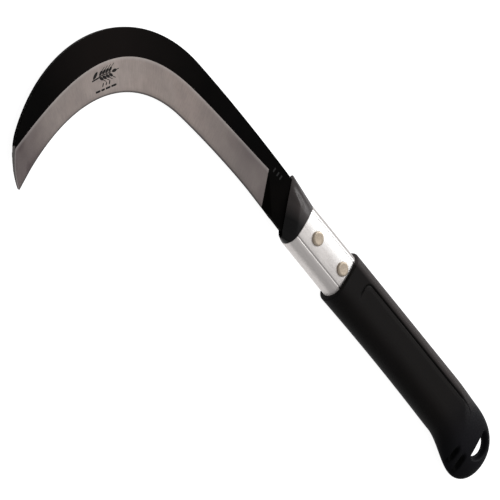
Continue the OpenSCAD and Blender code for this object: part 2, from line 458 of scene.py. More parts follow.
def tube_aluminium():
    """Drawn aluminium, brighter on its upper half by a painted reflection, with fine lines along the
    tube.
    """
    n = Nodes("tube_aluminium")
    lines = n.noise(n.place((0.035, 5.5, 5.5)), 1, 4, 0.7)
    broad = n.noise(n.place((0.02, 0.9, 0.9)), 1, 2, 0.5)
    dull = n.noise(n.place(), 0.16, 3, 0.6)
    tint = n.blend(n.spread(broad, 0.3, 0.7), (0.64, 0.605, 0.59), (0.72, 0.685, 0.665))
    side = n.height()
    # Painted reflection: brighter from just below the axis upward
    tint = n.over(tint, side, -1.5, 4.5, 1, (0.94, 0.93, 0.92))
    tint = n.over(tint, lines, 0.35, 0.65, 0.3, (0.52, 0.495, 0.48))
    # Flanks beyond the grooves: duller, rougher metal, darkened by painted shade; painted shade also
    # darkens the lower grooves
    flank = n.maths("MAXIMUM", n.spread(side, 10.4, 11.2), n.spread(side, -9.9, -10.4, 0, 0.4))
    tint = n.blend(n.times(flank, 0.9), tint, (0.37, 0.345, 0.335))
    # Painted shade in the lower grooves
    groove = n.maths("ABSOLUTE", n.plus(side, GROOVE_Y))
    tint = n.blend(n.spread(groove, 0.35, 0.8, 0.75, 0), tint, (0.26, 0.245, 0.24))
    metal = n.spread(flank, 0, 1, 1, 0.2)
    rough = n.plus(n.vary(lines, 0.24, 0.38), n.spread(dull, 0.35, 0.7, 0, 0.08))
    rough = n.plus(rough, n.times(flank, 0.3))
    return n.use(Base_Color=tint, Metallic=metal, Roughness=rough, Anisotropic=0.35,
                 Normal=n.raised(lines, 0.012, 0.5))


def rivet_metal():
    """Warm nickel finish with turned rings and small dings."""
    n = Nodes("rivet_metal")
    rings = n.noise(n.layer("grain", (2.6, 0.2, 1)), 1, 3, 0.6)
    stain = n.noise(n.place(), 0.55, 4, 0.6)
    ding = n.noise(n.place(), 2.4, 2, 0.5)
    tint = n.blend(n.spread(stain, 0.35, 0.7), (0.47, 0.395, 0.315), (0.36, 0.3, 0.235))
    tint = n.over(tint, rings, 0.4, 0.7, 0.3, (0.46, 0.4, 0.33))
    rough = n.plus(n.vary(stain, 0.36, 0.5), n.vary(rings, 0, 0.06))
    return n.use(Base_Color=tint, Metallic=0.85, Roughness=rough,
                 Normal=n.raised(ding, 0.03, 0.5))


def liner_plastic():
    """Plain moulded filler between tang and tube."""
    n = Nodes("liner_plastic")
    flow = n.noise(n.place((0.4, 1.6, 1.6)), 0.35, 3, 0.6)
    skin = n.noise(n.place(), 2.2, 2, 0.5)
    tint = n.blend(n.spread(flow, 0.35, 0.7), (0.25, 0.24, 0.215), (0.31, 0.3, 0.275))
    return n.use(Base_Color=tint, Roughness=n.vary(skin, 0.48, 0.62),
                 Normal=n.raised(skin, 0.04, 0.4))


def grip_rubber():
    """Matt black moulded grip: spark-eroded grain, greyer above the panel's upper line by a painted
    sheen.
    """
    n = Nodes("grip_rubber")
    where = n.place()
    grain = n.noise(where, 2.6, 3, 0.6)
    fine = n.noise(where, 6.5, 2, 0.6)
    cloud = n.noise(n.place((0.6, 1.2, 1)), 0.06, 3, 0.55)
    dust = n.noise(where, 0.8, 5, 0.75)
    sunk = n.part(n.layer("sunk"), "X")
    # Distance from the panel's outline, height above the axis, and 1 in front of the pommel
    seam = n.part(n.layer("form"), "X")
    across = n.part(n.layer("form"), "Y")
    origin_x = ORIGIN.x / MM
    forward = n.spread(n.part(where, "X"), origin_x + BUTT_START, origin_x + THIN_START)
    tint = n.blend(n.spread(cloud, 0.35, 0.7), (0.005, 0.0041, 0.0038), (0.0064, 0.0053, 0.005))
    tint = n.blend(forward, (0.0026, 0.0024, 0.004), tint)
    # Painted sheen: greyer above the panel's upper line, in front of the pommel
    painted_sheen_band = n.times(n.spread(across, PANEL_Y, PANEL_Y + 2), n.times(forward, 0.85))
    tint = n.blend(painted_sheen_band, tint, (0.048, 0.041, 0.04))
    # A paler strip inside the panel's upper line, a painted highlight; and the dark line itself,
    # painted shade in the groove that fades out on the lower side
    strip = n.times(n.spread(seam, -3.4, -1), n.spread(seam, -0.7, -1))
    strip = n.times(strip, n.spread(across, 1, 7, 0, 0.8))
    tint = n.blend(n.times(strip, forward), tint, (0.013, 0.011, 0.0107))
    line = n.times(n.spread(seam, -0.8, -0.3), n.spread(seam, 0.8, 0.3))
    fade = n.times(n.spread(across, -6, -1, 0, 0.9), forward)
    tint = n.blend(n.times(line, fade), tint, (0.0006, 0.0005, 0.0005))
    tint = n.over(tint, dust, 0.6, 0.78, 0.2, (0.018, 0.017, 0.017))
    # Painted shade: darker in the two dents and along the lower side
    tint = n.over(tint, sunk, 0, 0.4, 0.95, (0.0003, 0.0003, 0.0004))
    tint = n.over(tint, across, -11, -17, 0.5, (0.0005, 0.0005, 0.0006))
    rough = n.plus(n.vary(grain, 0.46, 0.57), n.vary(cloud, 0, 0.06))
    rough = n.plus(rough, n.spread(sunk, 0, 0.3, 0, 0.35))
    relief = n.plus(n.times(grain, 0.65), n.times(fine, 0.35))
    return n.use(Base_Color=tint, Roughness=rough, Specular_IOR_Level=0.055,
                 Normal=n.raised(relief, 0.06, 0.55))


def mark_finish(name, scale, high, dark, light, specular):
    """Dull dark finish of a mark, mottled by a noise that turns it light from high on."""
    n = Nodes(name)
    bite = n.noise(n.place(), scale, 3, 0.6)
    return n.use(Base_Color=n.blend(n.spread(bite, 0.35, high), dark, light),
                 Specular_IOR_Level=specular, Roughness=n.vary(bite, 0.5, 0.7))


def floor_paper():
    """Near-white paper with a faint tooth; it gives off light, so that shadows stay faint."""
    n = Nodes("floor_paper")
    tooth = n.noise(n.place(), 0.9, 3, 0.6)
    tint = n.blend(n.spread(tooth, 0.3, 0.7), (0.37, 0.37, 0.37), (0.41, 0.41, 0.41))
    return n.use(Base_Color=tint, Roughness=n.vary(tooth, 0.85, 0.95),
                 Specular_IOR_Level=0.1, Emission_Color=(1, 1, 1, 1), Emission_Strength=0.92,
                 Normal=n.raised(tooth, 0.05, 0.2))


# -------- blade

BACK_R = 98
BEND_X = 167
BACK_Y = 16.7
TIP_DROP = -handle_mm(BLADE_LOW.y, 1)
BACK_CENTRE = plan(-BEND_X, BACK_Y - BACK_R)
BACK_FROM = 93
BACK_TO = 197.5


def on_back(angle):
    a = radians(angle)
    return BACK_CENTRE + BACK_R * plan(cos(a), sin(a))


TIP = plan(-237.6, -TIP_DROP)
TIP_EDGE = plan(-236.0, -TIP_DROP + 0.5)
NECK_TOP = plan(-66, 16.4)
NECK_LOW = plan(-55, -12.3)
EDGE_TIP = plan(-236.5, -120)
EDGE_BEND = plan(-161.4, -15.5)
EDGE_HEEL = plan(-91.4, -11.2)
GRIND_END = plan(-75.4, -11.6)
RAMP_END = plan(-65.5, -12)
BEVEL_TIP = plan(-255.4, -118.5)
BEVEL_BEND = plan(-166.4, 2.1)
BEVEL_HEEL = plan(-86.4, 8)
# Where the bevel line and the edge go on to past the tip, so that the tip is ground too
PAST_BEVEL = plan(-2.6, -20)
PAST_EDGE = plan(0.6, -20)

BACK_CURVE = [NECK_TOP, plan(-101, 18), plan(-141, 18), on_back(BACK_FROM)]
TIP_AIM = radians(BACK_TO - 180)
TIP_CURVE = [on_back(BACK_TO), on_back(BACK_TO) + 10 * plan(sin(TIP_AIM), -cos(TIP_AIM)),
             TIP + plan(-9.3, 3.6), TIP]
EDGE_HOOK = [EDGE_TIP, plan(-236.5, -64), plan(-211.7, -21.5), EDGE_BEND]
EDGE_STRAIGHT = [EDGE_BEND, plan(-141.4, -13.1), plan(-113.4, -11.2), EDGE_HEEL]
BEVEL_HOOK = [BEVEL_TIP, plan(-247.7, -59.3), plan(-237.6, -6.4), BEVEL_BEND]
BEVEL_STRAIGHT = [BEVEL_BEND, plan(-140, 5.2), plan(-110, 6.2), BEVEL_HEEL]

EDGE_LEFT = 0.4    # steel left under the ground face at the edge
HONED_W = 0.9      # width of the honed strip along the edge
HONED_LEFT = 0.12  # steel left at the very edge
HOLLOW = 0.07      # how hollow the ground face is
TANG_HALF = 10
TANG_CUT = 3
HEEL_AT = 0.84       # share of the straight bevel line that faces the edge up to its heel
BACK_AT_BEND = 0.99  # places along the back curve that face the bend, the heel and the ramp
BACK_AT_HEEL = 0.27
BACK_AT_RAMP = 0.14
TIP_STEPS, HOOK_STEPS, STRAIGHT_STEPS, RAMP_STEPS = 16, 96, 44, 10
GROUND_ROWS = (0.14, 0.32, 0.5, 0.68, 0.84, 0.95, 1.0)
FLAT_ROWS = (0.04, 0.12, 0.3, 0.6, 0.88, 0.965, 1.0)
LINE_ROW = len(GROUND_ROWS) + 1  # the row on the bevel line; 0 is the edge, 1 the honed strip
BARE_WALL = 0.2                  # the back's wall is bare where the black face is narrower than this
BACK_ROUND = 0.35                # radius of the rounded back


def back_outline():
    arc = [on_back(mix(BACK_FROM, BACK_TO, i / 200)) for i in range(200)]
    return bezier_line(BACK_CURVE, 60) + arc + bezier_line(TIP_CURVE, 40) + [TIP]


def ground_share(point):
    """How far a point near the tip lies from the edge (0) towards the bevel line (1)."""
    share = 0.5
    for _ in range(6):
        past = (EDGE_TIP.y + (BEVEL_TIP.y - EDGE_TIP.y) * share - point.y) / -PAST_EDGE.y
        edge = EDGE_TIP + past * PAST_EDGE
        line = BEVEL_TIP + past * PAST_BEVEL
        share = (edge.x - point.x) / (edge.x - line.x)
    return share


def tang_line(x, half, lean=0):
    """Points of a line across the tang, square to it or with its back further forward."""
    return plan(x + lean, -half), plan(x, 0), plan(x - lean, half)


def blade_stations():
    """Lines across the blade from tip to tang: (zone, edge point, line point, back point)."""
    outline = back_outline()
    stations = []
    start = ray_hit(EDGE_TIP, BEVEL_TIP - EDGE_TIP, outline)
    first = min(range(len(outline)), key=lambda i: (outline[i] - start).length)
    last = len(outline) - 1
    for i in range(TIP_STEPS):
        t = i / TIP_STEPS
        j = last - (last - first) * t
        back = mix(outline[int(j)], outline[min(int(j) + 1, last)], j - int(j))
        stations.append(("tip", mix(TIP_EDGE, EDGE_TIP, t), back, back))
    for i in range(HOOK_STEPS):
        t = i / HOOK_STEPS
        edge, line = bezier(EDGE_HOOK, t), bezier(BEVEL_HOOK, t)
        back = ray_hit(edge, line - edge, outline)
        if (back - edge).length < (line - edge).length:
            line = back
        stations.append(("ground", edge, line, back))
    for i in range(STRAIGHT_STEPS):
        t = i / STRAIGHT_STEPS
        edge = bezier(EDGE_STRAIGHT, t / HEEL_AT) if t < HEEL_AT else mix(
            EDGE_HEEL, GRIND_END, (t - HEEL_AT) / (1 - HEEL_AT))
        back = bezier(BACK_CURVE, mix(BACK_AT_BEND, BACK_AT_HEEL, t))
        stations.append(("ground", edge, bezier(BEVEL_STRAIGHT, t), back))
    for i in range(RAMP_STEPS + 1):
        t = i / RAMP_STEPS
        zone = "ramp" if i < RAMP_STEPS else "neck"
        back = bezier(BACK_CURVE, mix(BACK_AT_HEEL, BACK_AT_RAMP, t))
        stations.append((zone, mix(GRIND_END, RAMP_END, t), BEVEL_HEEL, back))
    neck = [(mix(RAMP_END, NECK_LOW, 0.5), plan(-76, 6), bezier(BACK_CURVE, BACK_AT_RAMP / 2)),
            (NECK_LOW, plan(-66, 2), NECK_TOP),
            tang_line(-54, TANG_HALF, 2),
            tang_line(-48, TANG_HALF),
            tang_line(TANG_END - TANG_CUT, TANG_HALF),
            tang_line(TANG_END, TANG_HALF - TANG_CUT)]
    return stations + [("neck", *points) for points in neck]


def ground_face(low, share):
    """Height of the hollow ground face at share between a low edge and the bevel line."""
    return mix(low, BLADE_TOP, share) - HOLLOW * 4 * share * (1 - share)


def upper_height(station, row, point, share):
    """Height of the upper face at a point of that row, at share between edge and line."""
    zone, edge, _, back = station
    low = BLADE_UNDER + EDGE_LEFT
    if zone == "neck":
        return BLADE_TOP
    if zone == "ramp":
        along = (edge - GRIND_END).length / (RAMP_END - GRIND_END).length
        return mix(mix(low, BLADE_TOP, smooth(along)), BLADE_TOP, share)
    if row == 0:
        return BLADE_UNDER + HONED_LEFT
    if zone == "tip":
        share = ground_share(back if row > LINE_ROW else point)
    return ground_face(low, share)


def line_width(station):
    """Width of the ground face at a station."""
    _, edge, line, _ = station
    return max((line - edge).length, 0.01)


def blade_row(station):
    """Points in the plan from edge to back, each with its share between edge and line."""
    _, edge, line, back = station
    honed = min(HONED_W / line_width(station), 0.4)
    shares = [0.0, honed] + [mix(honed, 1, s) for s in GROUND_ROWS]
    return [(mix(edge, line, s), s) for s in shares] + [(mix(line, back, s), 1.0) for s in FLAT_ROWS]


def blade_loop(station):
    """Points round the blade at a station: up over the upper face and back along the flat one."""
    row = blade_row(station)
    upper = [(p.x, p.y, upper_height(station, k, p, share)) for k, (p, share) in enumerate(row)]
    lower = [(p.x, p.y, BLADE_UNDER) for p, _ in row]
    return upper + lower[::-1]


def blade_layers(stations):
    """For each point: distance along the edge and past the line; distance from edge and back."""
    grain, rim = [], []
    travelled = 0.0
    before = stations[0][1]
    for station in stations:
        _, edge, _, back = station
        travelled += (edge - before).length
        before = edge
        row = [point for point, _ in blade_row(station)]
        for point in row + row[::-1]:
            from_edge = (point - edge).length
            grain.append((travelled, from_edge - line_width(station)))
            rim.append((from_edge, (back - point).length))
    return grain, rim


def blade_kinds(stations, count):
    """Material of each face: 0 for the bare steel of the bevel, 1 for the black coat."""
    kinds = []
    for zone, _, line, back in stations[:-1]:
        ground = zone in ("tip", "ground")
        bare = set(range(LINE_ROW)) | {count - 2}
        if (line - back).length < BARE_WALL:
            bare.add(count // 2 - 1)
        kinds += [0 if ground and k in bare else 1 for k in range(count)]
    return kinds + [0, 1]


def round_blade_edges(mesh, stations, loops):
    """Gives the back's edges, and the neck's lower ones, the weight of their rounding."""
    count = len(loops[0])
    top = count // 2 - 1
    rounded = {}
    for i, station in enumerate(stations[:-1]):
        tall = loops[i][top][2] - BLADE_UNDER
        weights = {top: min(1, tall / BLADE_T), top + 1: min(1, tall / BLADE_T)}
        if station[0] == "neck":
            weights.update({0: 1, count - 1: 1})
        for k, weight in weights.items():
            rounded[frozenset((i * count + k, (i + 1) * count + k))] = weight
    layer = mesh.attributes.new("bevel_weight_edge", "FLOAT", "EDGE")
    for edge in mesh.edges:
        layer.data[edge.index].value = rounded.get(frozenset(edge.vertices), 0.0)


def blade():
    """One skin of lines across the blade; its upper rows carry the bevel and its hollow."""
    stations = blade_stations()
    loops = [blade_loop(station) for station in stations]
    points, faces = lofted(loops)
    count = len(loops[0])
    faces.append(tuple(range(count)))
    faces.append(tuple(range(len(points) - 1, len(points) - count - 1, -1)))
    mesh = new_mesh("blade_body", points, faces)
    grain, rim = blade_layers(stations)
    fill_layer(mesh, "grain", grain)
    fill_layer(mesh, "rim", rim)
    for face, kind in zip(mesh.polygons, blade_kinds(stations, count)):
        face.material_index = kind
    round_blade_edges(mesh, stations, loops)
    piece = add_object("blade_body", mesh)
    mend(piece)
    mesh.materials.append(ground_steel())
    mesh.materials.append(black_coat())
    settle(piece, ["blade"])
    soften(piece, BACK_ROUND)
    shade(piece, 32)


def ground_height(point):
    """Height of the hook's ground face above a point in the plan."""
    samples = 160
    best = None
    for i in range(samples + 1):
        t = i / samples
        edge, line = bezier(EDGE_HOOK, t), bezier(BEVEL_HOOK, t)
        way = line - edge
        share = (point - edge).dot(way) / way.length_squared
        off = (point - edge - share * way).length
        if best is None or off < best[0]:
            best = (off, share)
    return ground_face(BLADE_UNDER + EDGE_LEFT, best[1])


def axes(turn):
    """Unit vectors along a direction and across it."""
    way = plan(cos(turn), sin(turn))
    return way, plan(-way.y, way.x)


def leaf(centre, turn, length, width):
    """Outline of a pointed grain."""
    way, side = axes(turn)
    steps = 12
    outline = []
    for i in range(steps):
        a = tau * i / steps
        outline.append(centre + way * length / 2 * cos(a)
                       + side * width / 2 * sin(a) * abs(sin(a)) ** 0.4)
    return outline


def bar(centre, turn, length, width):
    """Outline of a short stroke with round ends."""
    way, side = axes(turn)
    outline = []
    for end in (1, -1):
        for degrees in (-90, -45, 0, 45, 90):
            a = radians(degrees)
            outline.append(centre + end * (way * (length / 2 + width / 2 * cos(a))
                                           + side * width / 2 * sin(a)))
    return outline


def wheat_ear():
    """Outlines of an ear of wheat that lies along +X, with its stalk, leaf and awns."""
    outlines = [bar(plan(-9.0, -0.9), 0.1, 7.0, 1.0), bar(plan(0.4, 0), 0, 11.5, 0.7)]
    outlines.append(leaf(plan(-9.0, 1.7), 0.65, 6.6, 2.6))
    for i in range(4):
        x = -4.0 + 3.1 * i
        for side in (1, -1):
            outlines.append(leaf(plan(x + 0.6, side * 1.9), side * 0.6, 4.6, 2.2))
            outlines.append(bar(plan(x + 3.5, side * 4.2), side * 0.55, 2.6, 0.5))
    outlines.append(leaf(plan(9.6, 0), 0, 5.0, 2.3))
    outlines.append(bar(plan(12.9, 0.1), 0.05, 2.2, 0.5))
    return outlines


EAR_SIZE = 0.87
MARK_AT = plan(-226.0, -38.8)
MARK_TURN = radians(57)
STAMP_X = (-82.6, -78.8, -75.6)
STAMP_Y = 10.8
PLATE_PROUD, PLATE_DEEP = 0.02, 0.10  # how far a mark's plates stand out and reach in


def etched_mark():
    """A plain ear of wheat over two rows of short strokes, etched into the ground face."""
    outlines = [[EAR_SIZE * p for p in outline] for outline in wheat_ear()]
    for x, length in ((-2.4, 1.6), (0.4, 1.2), (3.2, 1.6)):
        outlines.append(bar(plan(x, -5.6), pi / 3, length, 0.9))
    for x, length in ((-7.2, 3.0), (-2.9, 2.0), (1.4, 3.0), (6.4, 3.4)):
        outlines.append(bar(plan(x, -8.3), 0, length, 1.2))
    way, side = axes(MARK_TURN)
    placed = [[MARK_AT + p.x * way + p.y * side for p in outline] for outline in outlines]
    ink = mark_finish("etch_ink", 2.8, 0.75, (0.005, 0.0042, 0.004), (0.017, 0.0145, 0.0135), 0.1)
    add_mark("etched_mark", placed, ground_height, ink)


def stamped_bars():
    """Three short grey strokes on the black neck."""
    outlines = [bar(plan(x, STAMP_Y), radians(84), 2.2, 1.1) for x in STAMP_X]
    dull = mark_finish("stamp_metal", 1.8, 0.65, (0.004, 0.0038, 0.0036), (0.011, 0.0104, 0.0098), 0.12)
    add_mark("neck_stamp", outlines, lambda point: BLADE_TOP, dull)


def add_mark(name, outlines, height, material):
    """A piece of thin closed plates, one for each outline, on the blade's face."""
    points, faces = [], []
    for outline in outlines:
        first, size = len(points), len(outline)
        for rise in (PLATE_PROUD, -PLATE_DEEP):
            points += [(p.x, p.y, height(p) + rise) for p in outline]
        faces.append(tuple(range(first, first + size)))
        faces.append(tuple(range(first + 2 * size - 1, first + size - 1, -1)))
        faces += loop_faces(first, first + size, size)
    mark = make_piece(name, points, faces)
    mark.data.materials.append(material)


# -------- collar, tube, rivets

def oval(half_w, half_t, lean, count):
    """Points (y, z) from +Y on round a flat oval; its faces lean by lean degrees at their sides."""
    lean = radians(lean)
    gap = (half_w - half_t) / (sin(lean) - 1 + cos(lean))
    end_r = half_t - gap * (1 - cos(lean))
    face_r = end_r + gap
    quarter = count // 4
    turn = quarter * 3 // 5
    right = []
    for i in range(turn + 1):
        tilt = mix(pi / 2, lean, i / turn)
        right.append((half_w - end_r + end_r * sin(tilt), end_r * cos(tilt)))
    for i in range(turn + 1, quarter + 1):
        tilt = lean * (quarter - i) / (quarter - turn)
        right.append((face_r * sin(tilt), half_t - face_r + face_r * cos(tilt)))
    top = right + [(-y, z) for y, z in right[-2::-1]]
    return top + [(y, -z) for y, z in top[-2:0:-1]]


def even_angles(count):
    return [tau * k / count for k in range(count)]


COLLAR_LINE = [plan(-52.5, -TUBE_W / 2), plan(-55, NECK_LOW.y), plan(COLLAR_FRONT, 16.2),
               plan(COLLAR_FRONT, COLLAR_Y)]


def collar_front(y):
    """Where the collar's slanted front lies at a height y above the handle's axis."""
    for a, b in zip(COLLAR_LINE, COLLAR_LINE[1:]):
        if y <= b.y:
            return mix(a.x, b.x, max(0.0, (y - a.y) / (b.y - a.y)))
    return COLLAR_LINE[-1].x


def collar():
    """Moulded throat: a skin from the tube's section to the thin slanted front round the blade."""
    around = 160
    steps = 32
    lip = 1.5   # half thickness at the front lip
    ramp = 7.5  # length over which it grows to the full thickness
    corner_y = 7
    corner_over = 9
    middle = (COLLAR_Y - TUBE_W / 2) / 2
    rear = oval(TUBE_W / 2, TUBE_T / 2, TUBE_LEAN, around)
    front = oval((COLLAR_Y + TUBE_W / 2) / 2, lip, 0.5, around)
    loops = []
    for i in range(steps + 1):
        t = 1 - (1 - i / steps) ** 1.5
        loop = []
        for (rear_y, rear_z), (front_y, front_z) in zip(rear, front):
            front_x = collar_front(front_y + middle)
            x = mix(TUBE_FRONT, front_x, t)
            # Along the upper corner the thickness grows evenly, so that its outline is straight
            upper = smooth((front_y + middle - corner_y) / corner_over)
            swell = sin(pi / 2 * min(1.0, (x - front_x) / ramp)) ** 1.15
            thick = mix(swell, 1 - t, upper)
            loop.append((x, mix(rear_y, front_y + middle, t), MID_Z + mix(front_z, rear_z, thick)))
        loops.append(loop)
    # The slot round the blade, with a little room
    slot_half = BLADE_T / 2 + 0.03
    slot_low, slot_high = NECK_LOW.y - 0.05, NECK_TOP.y + 0.05
    for inset in (0.5, 1.0):
        loop = []
        for (x, y, z), (front_y, front_z) in zip(loops[steps], front):
            slot_y = min(slot_high, max(slot_low, y))
            slot_z = MID_Z + copysign(slot_half, front_z)
            loop.append((x + 0.2 * inset, mix(y, slot_y, inset), mix(z, slot_z, inset)))
        loops.append(loop)
    loops.append([(TUBE_FRONT, y * TANG_HALF / (TUBE_W / 2), MID_Z + copysign(slot_half, z))
                  for y, z in rear])
    points, faces = lofted(loops, closed=True)
    piece = make_piece("collar_shell", points, faces, ["collar"])
    mark_rounding(piece, 65)
    soften(piece, 0.25, 3)
    shade(piece, 45)
    piece.data.materials.append(collar_plastic())


def mark_rounding(piece, angle):
    """Gives a bevel weight to every edge where faces meet at more than angle degrees."""
    with editing(piece) as cage:
        weights = cage.edges.layers.float.new("bevel_weight_edge")
        for edge in cage.edges:
            if len(edge.link_faces) == 2 and edge.calc_face_angle(0) > radians(angle):
                edge[weights] = 1.0


GROOVE_Y = 9.2
GROOVE_HALF_W = 0.9
GROOVE_D = 0.2
TUBE_LEAN = 8  # how far the tube's crowned faces lean at their sides, in degrees


def tube_section():
    """Outline (y, z) of the crowned flat oval with its four shallow grooves."""
    outline = []
    for y, z in oval(TUBE_W / 2, TUBE_T / 2, TUBE_LEAN, 320):
        depth = GROOVE_D * bump((abs(y) - GROOVE_Y) / GROOVE_HALF_W)
        outline.append((y, z - copysign(depth, z)))
    return outline


def tube():
    """Drawn tube, open at both ends, with softened mouths."""
    section = tube_section()
    width, thick = TUBE_W / 2, TUBE_T / 2
    inner_w, inner_t = (width - TUBE_WALL) / width, (thick - TUBE_WALL) / thick
    soft = 0.3  # rounding of the mouths
    steps = 24
    loops = []
    stations = [(TUBE_FRONT, 1 - soft / thick)]
    stations += [(mix(TUBE_FRONT + soft, TUBE_END - soft, i / steps), 1.0) for i in range(steps + 1)]
    stations += [(TUBE_END, 1 - soft / thick)]
    for x, size in stations:
        loops.append([(x, y * mix(1, size, 0.6), MID_Z + z * size) for y, z in section])
    for x in (TUBE_END, TUBE_FRONT):
        loops.append([(x, y * inner_w, MID_Z + z * inner_t) for y, z in section])
    points, faces = lofted(loops, closed=True)
    piece = make_piece("tube_shell", points, faces, ["tube"])
    shade(piece, 35)
    piece.data.materials.append(tube_aluminium())


# The head's face from its middle outwards: share of the head's radius, and depth below its top
RIVET_FACE = ((0, 0.12), (0.3, 0.11), (0.55, 0.06), (0.72, 0.01), (0.84, 0.04), (0.93, 0.2),
              (0.985, 0.45), (1, 0.75))
SHANK_R = 2.5


def rivet(node, material):
    """Turned rivet: a shank with a low, soft-edged head at each end and a dished face."""
    low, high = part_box(node)
    x = handle_mm((low.x + high.x) / 2, 0)
    y = handle_mm((low.y + high.y) / 2, 1)
    head_r = (high.x - low.x) / 2 / MM
    head_top = (high.z - low.z) / 2 / MM
    head_under = TUBE_T / 2
    profile = [(share * head_r, head_top - depth) for share, depth in RIVET_FACE]
    profile += [(head_r, head_under), (SHANK_R, head_under)]
    profile += [(r, -z) for r, z in profile[::-1]]
    turns = 64
    loops = [[(x + r * cos(a), y + r * sin(a), MID_Z + z) for a in even_angles(turns)]
             for r, z in profile]
    points, faces = lofted(loops)
    piece = make_piece(node + "_set", points, faces, [node])
    spots = [(vertex.co - at(x, y, MID_Z)) / MM for vertex in piece.data.vertices]
    fill_layer(piece.data, "grain", [(p.xy.length, p.z) for p in spots])
    shade(piece, 40)
    piece.data.materials.append(material)


# -------- grip

GRIP_TOP = 17.7
GRIP_WAIST = 17.3
WAIST_X = 60
WAIST_SPREAD = 60  # distance over which the waist widens by one millimetre
BUTT_Y = -4.2
BUTT_START = 138
BUTT_POWER = 2.4  # squareness of the butt
LOBE_X = 147
LOBE_START = 119
LOBE_DROP = 27.7
POMMEL_THIN = 6.0  # taken off each face towards the butt
THIN_START = 112
THIN_OVER = 40
CROWN = 2.0       # what the flat faces cut off the sections' height
FLAT_BACK = 0.15  # how soft the edges of the flat faces are at the back and at the waist
FLAT_WAIST = 1.8
FLAT_TURN_Y = 5
FLAT_TURN_OVER = 10
HOLE_X = 153.4
HOLE_Y = -1.0
HOLE_LEN = 16.0
HOLE_W = 5.2
HOLE_R = ((HOLE_LEN / 2) ** 2 + HOLE_W ** 2) / (2 * HOLE_W)  # radius of its round side
HOLE_MID_X = HOLE_X + HOLE_W - HOLE_R                        # and where its centre lies
PANEL_Y = 7.6
PANEL_X = (14.2, 134.0)
PANEL_R = 5.5
PANEL_LINE_D = 0.75  # depth and half width of the panel's line
PANEL_LINE_W = 0.9
RIM_LEFT = 0.4  # half thickness that the sunk places keep at least
DENT_D = 2.4    # depth of the two dents in the pommel
FLARE_D = 2.5   # sinking of the face past the hole's round side, and its width
FLARE_W = 3.6
HOLE_EDGE_D = 1.9  # sinking round the whole hole, and its width
HOLE_EDGE_W = 2.6


def butt_round(x):
    """Share of the full size that is left where the back rounds into the butt."""
    return superellipse((x - BUTT_START) / (GRIP_LEN - BUTT_START), BUTT_POWER)


def grip_high(x):
    return BUTT_Y + (GRIP_TOP - BUTT_Y) * butt_round(x)


def grip_low(x):
    waist = GRIP_WAIST + ((min(x, LOBE_START) - WAIST_X) / WAIST_SPREAD) ** 2
    if x < LOBE_X:
        return -waist - (LOBE_DROP - waist) * smooth((x - LOBE_START) / (LOBE_X - LOBE_START))
    return BUTT_Y - (LOBE_DROP + BUTT_Y) * superellipse((x - LOBE_X) / (GRIP_LEN - LOBE_X), 2)


def grip_half_t(x):
    thin = POMMEL_THIN * smooth((x - THIN_START) / THIN_OVER)
    return (MID_Z + CROWN - thin) * butt_round(x)


def flattened(y, z):
    """A height above or below the middle, held back to the flat faces with a soft edge."""
    soft = mix(FLAT_BACK, FLAT_WAIST, smooth((FLAT_TURN_Y - y) / FLAT_TURN_OVER))
    over = abs(z) - MID_Z + soft
    if over <= 0:
        return z
    held = MID_Z - soft + over - over ** 2 / (4 * soft) if over < 2 * soft else MID_Z
    return copysign(held, z)


def panel_distance(x, y):
    """Signed distance to the rounded rectangle of the flat panel, negative inside it."""
    half_x = (PANEL_X[1] - PANEL_X[0]) / 2
    dx = abs(x - (PANEL_X[0] + PANEL_X[1]) / 2) - half_x + PANEL_R
    dy = abs(y) - PANEL_Y + PANEL_R
    return hypot(max(dx, 0), max(dy, 0)) + min(max(dx, dy), 0) - PANEL_R


def hole_distances(x, y):
    """Distances past the hole's straight side and past its round side, negative inside."""
    return HOLE_X - x, hypot(x - HOLE_MID_X, y - HOLE_Y) - HOLE_R


def dent(x, y, cx, cy, half_x, half_y):
    """A soft-ended dent, 1 deep at its middle."""
    return bump((x - cx) / half_x) * smooth(1.4 * (1 - abs((y - cy) / half_y)))


def dents(x, y):
    """The two dents across the pommel's lobe."""
    return dent(x, y, 139.6, -19.8, 2.8, 7.0) + dent(x, y, 147.2, -20.2, 3.0, 8.0)


def grip_sink(x, y):
    """How far the moulded faces sink below the plain form; the line fades out low and far back."""
    seam = panel_distance(x, y)
    fade = smooth((y + 6.5) / 6) * smooth((137 - x) / 22)
    sink = fade * (PANEL_LINE_D * bump(seam / PANEL_LINE_W) + 0.12 * bump((seam + 1.6) / 2.0))
    straight, round_side = hole_distances(x, y)
    flare = smooth(1 - max(0.0, round_side) / FLARE_W)
    sink += FLARE_D * flare * smooth((0.6 - straight) / 1.2)
    outside = hypot(max(straight, 0), max(round_side, 0))
    sink += HOLE_EDGE_D * smooth(1 - outside / HOLE_EDGE_W)
    return sink + DENT_D * dents(x, y)


def grip_stations():
    """Places of the loops along the grip, closer together at its ends and at the panel's end."""
    spots = [0.0, 0.08, 0.3, 0.65, 1.0, 1.5, 2.5, 4.0, 6.0, 8.0, 10.0, 11.5]
    spots += [12.6 + 0.3 * i for i in range(28)]
    spots += [21.5 + 1.5 * i for i in range(70)]
    spots += [127.0 + 0.45 * i for i in range(62)]
    left, steps = 155.0, 34
    turn = pi / 2 / steps
    return spots + [left + (GRIP_LEN - left) * sin(turn * i) for i in range(steps)]


def grip_loop(x, angles, fillet):
    """One section of the grip; fillet is how far the front rounding has drawn it in."""
    high, low = grip_high(x), grip_low(x)
    mid_y, half_y, half_z = (high + low) / 2, (high - low) / 2, grip_half_t(x)
    loop = []
    for a in angles:
        y = mid_y + half_y * cos(a)
        z = flattened(y, half_z * sin(a))
        flatness = smooth((abs(sin(a)) - 0.35) / 0.4)
        spare = max(0.0, abs(z) - RIM_LEFT)
        z -= copysign(min(spare, grip_sink(x, y) * flatness), z)
        shrink = 1 - fillet / half_y
        shrink_z = 1 - fillet / max(half_z, 0.01)
        loop.append((x, mid_y + (y - mid_y) * shrink, MID_Z + z * shrink_z))
    return loop


